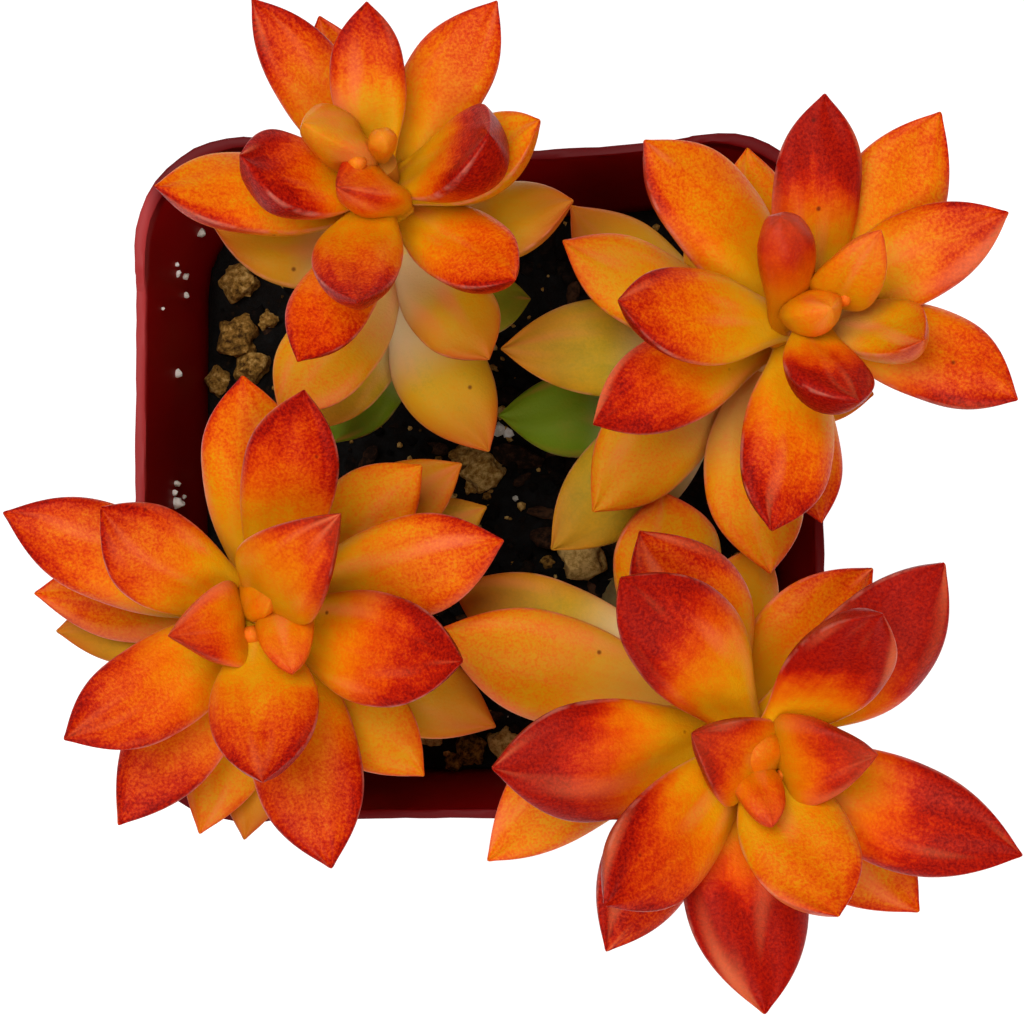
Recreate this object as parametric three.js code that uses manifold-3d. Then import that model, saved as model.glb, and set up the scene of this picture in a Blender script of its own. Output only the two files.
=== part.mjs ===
// A small square nursery pot of shooting stars sedum, in millimetres, +Z up.
// The origin is the middle of the pot's underside. +X is to the right and +Y away, seen from above.
import * as THREE from "three";
import { mergeVertices } from "three/addons/utils/BufferGeometryUtils.js";
import Module from "manifold-3d";

const wasm = await Module();
wasm.setup();

// Pot
const POT_HEIGHT = 55;
const RIM_HALF = 28.5; // half the width across the lip
const LIP_WIDTH = 1.1;
const LIP_PROUD = 0.3; // how far the lip stands out from the wall
const LIP_HEIGHT = 1.6;
const WALL = 0.8;
const FLOOR = 1.2;
const TAPER = 0.118; // inwards per mm down, on each wall
const CORNER_SHARE = 0.27; // corner radius, as a share of the half width
const SIDE_BOW = 0.028; // how far a side's middle lies in, as a share of the half width
const LUG_RISE = 0.8; // the corners stand this far above the sides
const LUG_START = 0.56; // where a raised corner begins along a side, as a share of the half width
const DRAIN_RADIUS = 3.4;
const DRAIN_PLACE = 17.6;
const DRAIN_SIDES = 12;

// Potting mix
const SOIL_TOP = 39;
const FIT_GAP = 0.3;
const SOIL_RINGS = 5;
const GRIT_SCATTERED = 16;
const GRIT_SIZES = [0.7, 1.5];
const GRIT_SPACING = 0.4; // least room between two grains
const GRIT_FROM_WALL = 2;
const GRIT_FROM_STEM = 4.5;
const GRIT_PROUD = 0.15; // a grain's middle above the mix, as a share of its radius
const GRIT_SEED = 7;
// Larger grains that show between the plants: x, y, radius
const GRIT_SEEN = [
  [-22.3, 17.2, 1.5],
  [-21.6, 13.0, 1.9],
  [-18.9, 11.4, 1.7],
  [-22.9, 9.8, 1.5],
  [-0.9, 1.9, 1.8],
  [1.2, 5.4, 1.2],
  [6.2, -5.4, 1.8],
  [22.6, -7.4, 1.5],
  [-3.6, -23.4, 1.5],
  [0.2, -21.6, 1.4],
];

// Leafy stems
const STEM_RADIUS = 1.7;
const STEM_SIDES = 8;
const STEM_STEPS = 9;
const LEAF_STATIONS = [0, 0.2, 0.4, 0.6, 0.79, 0.92, 1];
const LEAF_ROOT = 0.34; // half width where the leaf joins its stem, as a share of the widest
const LEAF_WIDEST = 0.6; // how far along the leaf is widest
// A leaf's section, for a width of 2: flat above between two margins, and deep below
const LEAF_SECTION = [
  [1, 0],
  [0.5, -0.72],
  [-0.5, -0.72],
  [-1, 0],
  [-0.55, 0.4],
  [0.55, 0.4],
];
// How far a leaf hangs below its chord, as a share of its length; young upright leaves cup inwards more
const LEAF_SAG = 0.04;
const HEART_SAG = 0.14;

// A stem runs from its foot in the mix, past a knee that draws the curve, to the growing tip.
// Its leaves go from the heart down the stem: mm below the tip, compass turn from +X and lift from level
// in degrees, length from the stem's middle and greatest width in mm.
const PLANTS = {
  sedum_upper_left: {
    foot: [-4, 9, 28],
    knee: [-6, 14.5, 62],
    tip: [-6, 23, 79],
    leaves: [
      [0, 40, 78, 4.5, 2.6],
      [0.5, 225, 60, 5, 2.8],
      [1, 159, 45, 8.5, 4.6],
      [1.5, 271, 68, 9, 5],
      [3, 97, 18, 13, 6],
      [4, 182, 42, 13, 6.6],
      [4, 266, 50, 16, 6.4],
      [4.5, 17, 50, 13.5, 6.4],
      [5, 59, 5, 16.5, 6.2],
      [5.5, 21, 25, 14, 6.6],
      [6, 124, 8, 18, 6],
      [6.5, 325, 35, 15.5, 6.6],
      [7, 178, 22, 18, 6.8],
      [8, 244, 32, 16, 6.6],
      [8, 110, -5, 16.5, 6.4],
      [9, 88, -20, 15, 6.4],
      [11, 7, 14, 14.5, 7],
      [13, 308, 12, 13, 7],
      [13.5, 174, 10, 14.5, 7.6],
      [15, 235, 12, 16, 7.6],
      [15, 70, 0, 12.5, 6.4],
      [18, 295, 0, 16, 8],
      [20, 125, 5, 13, 6.4],
      [21, 237, 5, 14, 6.2],
      [22, 55, 8, 11, 6],
      [25, 150, -5, 13, 6],
      [26, 4, 0, 9.5, 5.6],
      [27, 237, 5, 13, 6],
    ],
  },
  sedum_upper_right: {
    foot: [12, 2, 28],
    knee: [20.5, 8, 62],
    tip: [27, 12, 79],
    leaves: [
      [0.5, 200, 70, 3.5, 3],
      [1, 53, 55, 10, 5],
      [2, 122, 50, 11.5, 5.6],
      [3, 18, 65, 5.5, 4.6],
      [3, 283, 45, 12, 5.8],
      [4, 84, 15, 16.5, 7.2],
      [5, 341, 45, 12, 5.8],
      [5, 27, 10, 17, 6.8],
      [5, 338, 12, 17, 7.2],
      [5.5, 177, 35, 16.5, 6.8],
      [6, 56, 5, 19, 7.2],
      [7, 263, 20, 16.5, 7.4],
      [7.5, 129, 20, 18.5, 8],
      [9, 281, 5, 14.5, 6.2],
      [9.5, 206, 22, 17, 7],
      [10, 99, 0, 15, 6.8],
      [12, 153, 10, 18, 7],
      [13, 120, -8, 14, 6.6],
      [14, 272, 5, 17, 8],
      [15, 223, 5, 17.5, 7.6],
      [16, 62, 0, 14, 6.6],
      [17, 176, 5, 19.5, 7.8],
      [18, 136, 0, 19, 8],
      [18.5, 350, 0, 13, 6.6],
      [20, 20, -8, 15, 6.6],
      [22, 223, 0, 19.5, 8],
      [28, 60, -10, 13, 6],
      [31, 181, 5, 16.5, 7],
    ],
  },
  sedum_lower_left: {
    foot: [-9, -5, 28],
    knee: [-18, -10.5, 50],
    tip: [-15.3, -10.5, 75],
    leaves: [
      [0, 64, 75, 6, 3.2],
      [0.4, 273, 75, 5.5, 2.8],
      [1.5, 197, 50, 10, 5.8],
      [2, 47, 45, 13, 6.4],
      [2.5, 315, 80, 10, 5.2],
      [3, 276, 35, 15.5, 8],
      [4, 146, 32, 15.5, 7.4],
      [4.5, 75, 30, 18.5, 7.2],
      [5, 346, 28, 18.5, 8.4],
      [6, 215, 22, 18.5, 7.6],
      [6.5, 95, 20, 18.5, 8],
      [7, 286, 12, 20.5, 8.2],
      [7.5, 15, 15, 20, 7.8],
      [8, 160, 10, 21.5, 7.6],
      [9, 237, 5, 20, 7.4],
      [10, 313, 5, 18, 7.2],
      [11, 42, 10, 16.5, 7],
      [11.5, 177, 0, 19, 7],
      [12.5, 252, 0, 19, 7],
      [13.5, 331, 0, 20, 7.4],
      [14.5, 37, 3, 18.5, 7],
      [14.5, 186, 0, 18.5, 6.8],
      [15, 262, 2, 19, 6.8],
      [18, 25, 0, 18, 6.6],
      [19, 115, 12, 11, 6],
      [20, 285, 12, 12, 6.4],
      [26, 110, 0, 12, 6],
      [28, 290, 0, 12, 6],
    ],
  },
  sedum_lower_right: {
    foot: [8, -4, 28],
    knee: [15.5, -17, 54],
    tip: [22.6, -21, 80],
    leaves: [
      [0, 119, 75, 5, 3],
      [0.4, 277, 75, 5, 2.8],
      [1.5, 271, 52, 8.5, 5],
      [2.5, 150, 68, 10, 6.2],
      [3, 0, 45, 11.5, 6.6],
      [3, 49, 38, 16, 7.2],
      [4, 295, 32, 15.5, 8.2],
      [4.5, 129, 32, 18, 8.2],
      [5, 227, 30, 18, 8.2],
      [6, 337, 14, 21.5, 8],
      [6.5, 43, 18, 20, 8.8],
      [7, 274, 10, 20.5, 9],
      [8, 188, 20, 19.5, 8.6],
      [9, 116, 22, 17.5, 8.4],
      [10, 241, 5, 19.5, 7.4],
      [10.5, 317, 2, 20, 7.4],
      [11.5, 46, 5, 16, 7.4],
      [13, 212, 3, 21, 7.8],
      [15, 164, 5, 22, 8.4],
      [16, 5, 5, 10.5, 6.4],
      [17, 70, 5, 13, 7],
      [18, 156, 0, 21.5, 7.8],
      [20, 350, -20, 11, 6],
      [23, 280, 12, 12, 6],
      [24, 96, 24, 16, 9],
      [27, 20, 12, 11, 6],
      [30, 200, 0, 12, 6],
    ],
  },
};

const PLASTIC = new THREE.MeshStandardMaterial({ color: "#5c0c12", roughness: 0.5, metalness: 0 });
const MIX = new THREE.MeshStandardMaterial({ color: "#16100c", roughness: 0.95, metalness: 0 });
const LEAF = new THREE.MeshStandardMaterial({ color: "#e0561a", roughness: 0.45, metalness: 0 });

// Solids

// A closed geometry as a solid that can be joined and cut.
function solidOf(geometry) {
  const bare = geometry.clone();
  bare.deleteAttribute("normal");
  bare.deleteAttribute("uv");
  const merged = mergeVertices(bare);
  const corners = merged.index.array;
  const triVerts = [];
  for (let i = 0; i < corners.length; i += 3) {
    const [a, b, c] = [corners[i], corners[i + 1], corners[i + 2]];
    if (a !== b && b !== c && c !== a) {
      triVerts.push(a, b, c);
    }
  }
  return new wasm.Manifold(
    new wasm.Mesh({
      numProp: 3,
      vertProperties: merged.attributes.position.array,
      triVerts: new Uint32Array(triVerts),
    }),
  );
}

// A solid as a geometry again.
function geometryOf(solid) {
  const mesh = solid.getMesh();
  const geometry = new THREE.BufferGeometry();
  geometry.setAttribute("position", new THREE.BufferAttribute(mesh.vertProperties, mesh.numProp));
  geometry.setIndex(new THREE.BufferAttribute(mesh.triVerts, 1));
  geometry.computeVertexNormals();
  return geometry;
}

// Moves every vertex of a geometry by a formula.
function reshape(geometry, move) {
  const at = geometry.attributes.position;
  const point = new THREE.Vector3();
  for (let i = 0; i < at.count; i++) {
    point.fromBufferAttribute(at, i);
    move(point, i);
    at.setXYZ(i, point.x, point.y, point.z);
  }
  return geometry;
}

// The square plan

// One quarter of the rounded square with bowed sides, for a half width of 1, from the middle of a side.
function quarterPlan() {
  const straight = 1 - CORNER_SHARE;
  const bowed = (along) => 1 - SIDE_BOW * (1 - (along / straight) ** 2);
  const lugSlope = 0.012; // the short rise to a raised corner
  const half = [0, LUG_START / 2, LUG_START - lugSlope, LUG_START];
  const arcSteps = 4;
  const plan = half.map((y) => new THREE.Vector2(bowed(y), y));
  for (let i = 0; i <= arcSteps; i++) {
    const angle = ((Math.PI / 2) * i) / arcSteps;
    const x = straight + CORNER_SHARE * Math.cos(angle);
    const y = straight + CORNER_SHARE * Math.sin(angle);
    plan.push(new THREE.Vector2(x, y));
  }
  const other = half.slice(1).reverse();
  other.forEach((x) => plan.push(new THREE.Vector2(x, bowed(x))));
  return plan;
}

const QUARTER = quarterPlan();
const PLAN_POINTS = 4 * QUARTER.length;

// Point number i round the plan.
function planPoint(i) {
  const turn = Math.floor(i / QUARTER.length) * (Math.PI / 2);
  const corner = QUARTER[i % QUARTER.length];
  return corner.clone().rotateAround(new THREE.Vector2(0, 0), turn);
}

// A solid of revolution whose round section becomes the square plan. The profile's x is the half width.
function squaredLathe(profile, lift) {
  const points = profile.map(([half, z]) => new THREE.Vector2(half, z));
  const geometry = new THREE.LatheGeometry(points, PLAN_POINTS);
  return reshape(geometry, (point, i) => {
    const place = planPoint(Math.floor(i / points.length) % PLAN_POINTS);
    const [half, z] = profile[i % points.length];
    point.set(half * place.x, half * place.y, z);
    lift(point, place);
  });
}

// Half width of the pot's outside at a height
function outsideHalf(z) {
  return RIM_HALF - LIP_PROUD - TAPER * (POT_HEIGHT - z);
}

// Half width of the pot's inside at a height
function insideHalf(z) {
  return outsideHalf(z) - WALL;
}

// Pot

// The moulded pot: a tapered square wall with a lip whose corners stand up, and a flat floor.
function pot() {
  const lipFoot = POT_HEIGHT - LIP_HEIGHT;
  const edge = 0.6; // bevel round the foot
  const ease = 0.2; // bevel at the lip's outer edge
  const profile = [
    [0, 0],
    [outsideHalf(0) - edge, 0],
    [outsideHalf(edge), edge],
    [outsideHalf(lipFoot), lipFoot],
    [RIM_HALF - ease / 2, lipFoot + ease],
    [RIM_HALF, POT_HEIGHT - ease],
    [RIM_HALF - LIP_WIDTH, POT_HEIGHT],
    [insideHalf(lipFoot), lipFoot],
    [insideHalf(FLOOR), FLOOR],
    [0, FLOOR],
  ];
  const shell = squaredLathe(profile, (point, place) => {
    const raised = Math.min(Math.abs(place.x), Math.abs(place.y)) > LUG_START - 0.001;
    if (raised && point.z > lipFoot + ease / 2) {
      point.z += LUG_RISE;
    }
  });
  let body = solidOf(shell);
  for (const x of [-DRAIN_PLACE, DRAIN_PLACE]) {
    for (const y of [-DRAIN_PLACE, DRAIN_PLACE]) {
      const hole = new THREE.CylinderGeometry(DRAIN_RADIUS, DRAIN_RADIUS, 4 * FLOOR, DRAIN_SIDES);
      hole.rotateX(Math.PI / 2).translate(x, y, 0);
      body = body.subtract(solidOf(hole));
    }
  }
  return geometryOf(body);
}

// Stems and leaves

// The middle line of a stem; below lengthens it downwards.
function stemLine(plant, below = 0) {
  const foot = new THREE.Vector3(...plant.foot);
  const knee = new THREE.Vector3(...plant.knee);
  const down = foot.clone().sub(knee).setLength(below);
  return new THREE.QuadraticBezierCurve3(foot.add(down), knee, new THREE.Vector3(...plant.tip));
}

// A round bar of one radius along a line.
function bar(line, radius) {
  const round = new THREE.Shape();
  for (let i = 0; i < STEM_SIDES; i++) {
    const angle = (2 * Math.PI * i) / STEM_SIDES;
    const [x, y] = [radius * Math.cos(angle), radius * Math.sin(angle)];
    if (i === 0) {
      round.moveTo(x, y);
    } else {
      round.lineTo(x, y);
    }
  }
  return solidOf(new THREE.ExtrudeGeometry(round, { steps: STEM_STEPS, extrudePath: line }));
}

// Half width of a leaf, as a share of its widest, at a share of its length
function leafHalfWidth(along) {
  if (along < LEAF_WIDEST) {
    return LEAF_ROOT + (1 - LEAF_ROOT) * Math.sin((Math.PI / 2) * (along / LEAF_WIDEST)) ** 2;
  }
  return 1 - ((along - LEAF_WIDEST) / (1 - LEAF_WIDEST)) ** 1.9;
}

// One plump pointed leaf: a turned spindle with the leaf's section, hanging under its chord.
// It runs from root along the turn and lift, with its flat side to the growing tip of its stem.
function leaf(root, axis, turn, lift, long, wide) {
  const bearing = THREE.MathUtils.degToRad(turn);
  const climb = THREE.MathUtils.degToRad(lift);
  const way = new THREE.Vector3(
    Math.cos(climb) * Math.cos(bearing),
    Math.cos(climb) * Math.sin(bearing),
    Math.sin(climb),
  );
  const outline = [new THREE.Vector2(0, 0)];
  LEAF_STATIONS.slice(0, -1).forEach((u) => outline.push(new THREE.Vector2(leafHalfWidth(u), u)));
  outline.push(new THREE.Vector2(0, 1));
  const blade = new THREE.LatheGeometry(outline, LEAF_SECTION.length);
  const slack = (LEAF_SAG + HEART_SAG * Math.max(0, way.dot(axis)) ** 2) * long;
  reshape(blade, (point, i) => {
    const [side, height] = LEAF_SECTION[Math.floor(i / outline.length) % LEAF_SECTION.length];
    const { x: half, y: along } = outline[i % outline.length];
    const sag = 4 * slack * along * (1 - along);
    point.set((side * half * wide) / 2, along * long, (height * half * wide) / 2 - sag);
  });
  const across = new THREE.Vector3().crossVectors(way, axis).normalize();
  const up = new THREE.Vector3().crossVectors(across, way);
  blade.applyMatrix4(new THREE.Matrix4().makeBasis(across, way, up).setPosition(root));
  return solidOf(blade);
}

// A leafy stem, grown as one piece.
function leafyStem(plant) {
  const line = stemLine(plant);
  const length = line.getLength();
  let body = bar(line, STEM_RADIUS);
  for (const [drop, turn, lift, long, wide] of plant.leaves) {
    const share = 1 - drop / length;
    body = body.add(leaf(line.getPointAt(share), line.getTangentAt(share), turn, lift, long, wide));
  }
  return geometryOf(body);
}

// Potting mix

// How far the top of the mix lies above or below its level at a place
function soilSwell(x, y) {
  return 0.7 * Math.sin(x / 6 + 1) * Math.cos(y / 5) + 0.35 * Math.sin(x / 2.3 + y / 3.1);
}

// A repeatable stream of numbers from 0 to 1
function drawer(seed) {
  let state = seed;
  return () => {
    state = (state * 1664525 + 1013904223) % 4294967296;
    return state / 4294967296;
  };
}

// One angular grain, half sunk in the mix.
function grain(x, y, size, draw) {
  const stone = new THREE.IcosahedronGeometry(size, 0);
  const squash = new THREE.Vector3(0.8 + 0.4 * draw(), 0.8 + 0.4 * draw(), 0.6 + 0.3 * draw());
  stone.scale(squash.x, squash.y, squash.z);
  stone.rotateZ(2 * Math.PI * draw());
  stone.translate(x, y, SOIL_TOP + soilSwell(x, y) + GRIT_PROUD * size);
  return solidOf(stone);
}

// Where each stem leaves the mix
function stemPlaces() {
  return Object.values(PLANTS).map((plant) => {
    const line = stemLine(plant);
    return line.getPoints(60).find((point) => point.z >= SOIL_TOP);
  });
}

// The mix: it fills the pot from its floor, with a gap to the wall, and the grit stands out of its top.
function pottingSoil() {
  const gap = FIT_GAP / (1 - SIDE_BOW);
  const top = insideHalf(SOIL_TOP) - gap;
  const profile = [
    [0, FLOOR],
    [insideHalf(FLOOR) - gap, FLOOR],
  ];
  for (let i = SOIL_RINGS; i >= 0; i--) {
    profile.push([(top * i) / SOIL_RINGS, SOIL_TOP]);
  }
  let body = solidOf(
    squaredLathe(profile, (point) => {
      if (point.z === SOIL_TOP) {
        point.z += soilSwell(point.x, point.y);
      }
    }),
  );
  const draw = drawer(GRIT_SEED);
  const grains = GRIT_SEEN.map(([x, y, size]) => ({ x, y, size }));
  const room = top - GRIT_FROM_WALL;
  const stems = stemPlaces();
  while (grains.length < GRIT_SEEN.length + GRIT_SCATTERED) {
    const x = room * (2 * draw() - 1);
    const y = room * (2 * draw() - 1);
    const size = THREE.MathUtils.lerp(...GRIT_SIZES, draw());
    const apart = (other) => Math.hypot(x - other.x, y - other.y);
    const clearOfGrains = grains.every((other) => apart(other) > other.size + size + GRIT_SPACING);
    const clearOfStems = stems.every((stem) => apart(stem) > GRIT_FROM_STEM);
    if (clearOfGrains && clearOfStems) {
      grains.push({ x, y, size });
    }
  }
  grains.forEach(({ x, y, size }) => {
    body = body.add(grain(x, y, size, draw));
  });
  Object.values(PLANTS).forEach((plant) => {
    body = body.subtract(bar(stemLine(plant, FIT_GAP), STEM_RADIUS + FIT_GAP));
  });
  return geometryOf(body);
}

const group = new THREE.Group();

function addPart(name, geometry, material) {
  const mesh = new THREE.Mesh(geometry, material);
  mesh.name = name;
  group.add(mesh);
}

addPart("pot", pot(), PLASTIC);
addPart("potting_soil", pottingSoil(), MIX);
for (const [name, plant] of Object.entries(PLANTS)) {
  addPart(name, leafyStem(plant), LEAF);
}

export default group;
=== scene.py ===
import math
import random

import bmesh
import bpy
import numpy as np
from mathutils import Matrix, Vector


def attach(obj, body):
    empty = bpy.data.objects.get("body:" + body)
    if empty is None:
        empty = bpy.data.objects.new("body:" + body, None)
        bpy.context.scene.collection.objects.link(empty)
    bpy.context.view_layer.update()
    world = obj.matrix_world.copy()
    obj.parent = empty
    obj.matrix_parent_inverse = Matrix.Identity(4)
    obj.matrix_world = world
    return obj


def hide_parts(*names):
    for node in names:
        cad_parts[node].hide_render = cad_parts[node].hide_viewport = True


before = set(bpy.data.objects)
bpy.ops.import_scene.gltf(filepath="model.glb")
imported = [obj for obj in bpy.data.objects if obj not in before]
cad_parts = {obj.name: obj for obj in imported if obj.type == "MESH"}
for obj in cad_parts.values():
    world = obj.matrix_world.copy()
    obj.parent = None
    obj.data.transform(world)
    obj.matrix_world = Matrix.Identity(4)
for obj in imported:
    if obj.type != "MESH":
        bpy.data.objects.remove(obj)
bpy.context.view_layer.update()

MM = 0.001

# Camera
# The photograph looks down on the plant from about 23 cm above the pot's lip, with the pot's sides level
# in the picture. The long lens keeps the tall rosettes from spreading far past the pot.
EYE = Vector((14, -12, 285)) * MM
AIM = Vector((2.6, -2.2, 55)) * MM
bpy.ops.object.camera_add(location=EYE)
camera = bpy.context.object
camera.data.lens = 99.1
camera.data.sensor_width = 36
camera.data.clip_start = 0.01
back = (EYE - AIM).normalized()
right = Vector((0, 1, 0)).cross(back).normalized()
turn = Matrix((right, back.cross(right), back)).transposed().to_4x4()
camera.matrix_world = Matrix.Translation(EYE) @ turn
bpy.context.scene.camera = camera


# Nursery pot
# One thin square pot with rounded corners, injection moulded from dark red polypropylene. Its sides bow in,
# its corners stand above its sides, and it drains through a round hole at each corner of its floor.
POT_HEIGHT = 55 * MM
RIM_HALF = 28.5 * MM
LIP_PROUD = 0.3 * MM
LIP_HEIGHT = 1.6 * MM
POT_WALL = 0.8 * MM
POT_FLOOR = 1.2 * MM
POT_TAPER = 0.118
FLOOR_CORNER = 0.27
LIP_CORNER = 0.315
# How far the middle of each side bows in, as a share of its half width: right, left, back and front
SIDE_BOWS = (0.018, 0, 0.045, 0.012)
FRONT_SHARE = 0.976
LUG_RISE = 0.8 * MM
LUG_START = 0.56
DRAIN_RADIUS = 3.4 * MM
DRAIN_PLACE = 17.6 * MM
DRILL_LENGTH = 6 * MM
LIP_WAVE_LENGTH = 3.5 * MM
LIP_WAVE_HEIGHT = 0.3 * MM


def only(*pieces):
    """Deselects everything else, and makes the last of these the active one."""
    bpy.ops.object.select_all(action="DESELECT")
    for piece in pieces:
        piece.select_set(True)
    bpy.context.view_layer.objects.active = pieces[-1]


def edit(piece):
    """Opens a piece for editing with nothing in it selected."""
    only(piece)
    bpy.ops.object.mode_set(mode="EDIT")
    bpy.ops.mesh.select_mode(type="VERT")
    bpy.ops.mesh.select_all(action="DESELECT")


def done():
    bpy.ops.object.mode_set(mode="OBJECT")


def pick(piece, kind, test):
    """Selects the verts, edges or faces that pass a test, by their place or normal."""
    bpy.ops.mesh.select_mode(type={"verts": "VERT", "edges": "EDGE", "faces": "FACE"}[kind])
    bpy.ops.mesh.select_all(action="DESELECT")
    mesh = bmesh.from_edit_mesh(piece.data)
    for item in getattr(mesh, kind):
        if test(item):
            item.select_set(True)
    bmesh.update_edit_mesh(piece.data)


def with_modifier(piece, kind, **settings):
    """Adds a modifier to a piece and applies it."""
    only(piece)
    bpy.ops.object.modifier_add(type=kind)
    modifier = piece.modifiers[-1]
    for key, value in settings.items():
        setattr(modifier, key, value)
    bpy.ops.object.modifier_apply(modifier=modifier.name)


def cloud_texture(name, kind, size):
    texture = bpy.data.textures.new(name, kind)
    texture.noise_scale = size
    return texture


def square_plan(name, half, corner_steps, side_steps):
    """A flat rounded square whose sides bow in, on the ground, left open for editing and selected."""
    bpy.ops.object.select_all(action="DESELECT")
    bpy.ops.mesh.primitive_plane_add(size=2 * half)
    piece = bpy.context.object
    piece.name = name
    edit(piece)
    bpy.ops.mesh.select_all(action="SELECT")
    bpy.ops.mesh.bevel(affect="VERTICES", offset=FLOOR_CORNER * half, segments=corner_steps)
    pick(piece, "edges", lambda edge: edge.calc_length() > half)
    bpy.ops.mesh.subdivide(number_cuts=side_steps)
    straight = (1 - FLOOR_CORNER) * half
    mesh = bmesh.from_edit_mesh(piece.data)
    for vert in mesh.verts:
        for out, side in ((0, 1), (1, 0)):
            along = abs(vert.co[side])
            if along < straight and abs(vert.co[out]) > 0.99 * half:
                bow = SIDE_BOWS[2 * out + (vert.co[out] < 0)]
                vert.co[out] *= 1 - bow * (1 - (along / straight) ** 2)
        if vert.co.y < 0:
            vert.co.y *= FRONT_SHARE
    bmesh.update_edit_mesh(piece.data)
    bpy.ops.mesh.select_all(action="SELECT")
    return piece


def corner_share(z):
    """A corner's radius as a share of the half width. Corners are rounder at the lip than at the floor."""
    return FLOOR_CORNER + (LIP_CORNER - FLOOR_CORNER) * z / POT_HEIGHT


def round_corners(piece, half, old, new):
    """Changes the corner radius of the selected ring, which is half wide, from one share to another."""
    mesh = bmesh.from_edit_mesh(piece.data)
    for vert in mesh.verts:
        if not vert.select:
            continue
        past = [abs(vert.co[axis]) - (1 - old) * half for axis in (0, 1)]
        for axis in (0, 1):
            if min(past) > 0:
                moved = (1 - new) * half + past[axis] * new / old
            elif past[axis] < 0:
                moved = abs(vert.co[axis]) * (1 - new) / (1 - old)
            else:
                continue
            vert.co[axis] = math.copysign(moved, vert.co[axis])
    bmesh.update_edit_mesh(piece.data)


def raise_rings(piece, rings, half, height):
    """Extrudes what is selected through rings of (half width, height), from a ring of the given size."""
    for next_half, next_height in rings:
        bpy.ops.mesh.extrude_region_move(TRANSFORM_OT_translate={"value": (0, 0, next_height - height)})
        share = next_half / half
        bpy.ops.transform.resize(value=(share, share, 1), center_override=(0, 0, next_height))
        round_corners(piece, next_half, corner_share(height), corner_share(next_height))
        half, height = next_half, next_height


def outside(z):
    return RIM_HALF - LIP_PROUD - POT_TAPER * (POT_HEIGHT - z)


def inside(z):
    return outside(z) - POT_WALL


def hex_colour(code):
    """A linear colour from an sRGB hex value."""
    parts = [int(code[i : i + 2], 16) / 255 for i in (1, 3, 5)]
    return (*[p / 12.92 if p <= 0.04045 else ((p + 0.055) / 1.055) ** 2.4 for p in parts], 1)


def add_node(tree, kind, settings, inputs, stops=()):
    """Adds a node with its settings, its inputs as values or links, and a ramp's stops. Gives its outputs.

    A MapRange takes its value as 0, its old range as 1 and 2, and its new one as 3 and 4. A Mix takes its
    share as 0, and what it mixes as 2 and 3, or as 6 and 7 for colours."""
    node = tree.nodes.new("ShaderNode" + kind)
    for key, value in settings.items():
        setattr(node, key, value)
    for key, value in inputs.items():
        if isinstance(value, bpy.types.NodeSocket):
            tree.links.new(value, node.inputs[key])
        else:
            node.inputs[key].default_value = value
    for number, (place, colour) in enumerate(stops):
        ramp = node.color_ramp.elements
        stop = ramp[number] if number < 2 else ramp.new(place)
        stop.position = place
        stop.color = hex_colour(colour)
    return node.outputs


def new_material(name):
    """An empty node material, with its tree and its shader."""
    material = bpy.data.materials.new(name)
    material.use_nodes = True
    tree = material.node_tree
    return material, tree, tree.nodes["Principled BSDF"]


lip_foot = POT_HEIGHT - LIP_HEIGHT
foot_bevel = 0.6 * MM
lip_width = 0.85 * MM
pot_rings = [
    (outside(foot_bevel) - 0.15 * MM, 0.2 * MM),
    (outside(foot_bevel), foot_bevel),
    (outside(lip_foot - 0.6 * MM), lip_foot - 0.6 * MM),
    (outside(lip_foot), lip_foot),
    (RIM_HALF - 0.1 * MM, lip_foot + 0.12 * MM),
    (RIM_HALF, lip_foot + 0.35 * MM),
    (RIM_HALF, POT_HEIGHT - 0.12 * MM),
    (RIM_HALF - 0.04 * MM, POT_HEIGHT - 0.04 * MM),
    (RIM_HALF - 0.12 * MM, POT_HEIGHT),
    (RIM_HALF - lip_width + 0.12 * MM, POT_HEIGHT),
    (RIM_HALF - lip_width, POT_HEIGHT - 0.1 * MM),
    (RIM_HALF - lip_width - 0.1 * MM, POT_HEIGHT - 0.7 * MM),
    (inside(lip_foot), lip_foot - 0.4 * MM),
    (inside(20 * MM), 20 * MM),
    (inside(POT_FLOOR) - 0.1 * MM, POT_FLOOR + 0.5 * MM),
    (inside(POT_FLOOR) - 0.6 * MM, POT_FLOOR),
]
pot_start = outside(0) - foot_bevel
pot = square_plan("nursery_pot", pot_start, 10, 31)
raise_rings(pot, pot_rings, pot_start, 0)
bpy.ops.mesh.select_all(action="SELECT")
bpy.ops.mesh.normals_make_consistent(inside=False)
# The lip rises in a short slope to each corner.
for place in (LUG_START, LUG_START + 0.02, LUG_START + 0.05):
    for out in (-1, 1):
        for normal in ((1, 0, 0), (0, 1, 0)):
            bpy.ops.mesh.select_all(action="SELECT")
            cut = Vector(normal) * out * place * RIM_HALF
            bpy.ops.mesh.bisect(plane_co=cut, plane_no=normal)


def on_a_lug(start):
    def test(vert):
        return vert.co.z > lip_foot + 0.2 * MM and min(abs(vert.co.x), abs(vert.co.y)) > start * RIM_HALF

    return test


for start in (LUG_START + 0.01, LUG_START + 0.04):
    pick(pot, "verts", on_a_lug(start))
    bpy.ops.transform.translate(value=(0, 0, LUG_RISE / 2))
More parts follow.
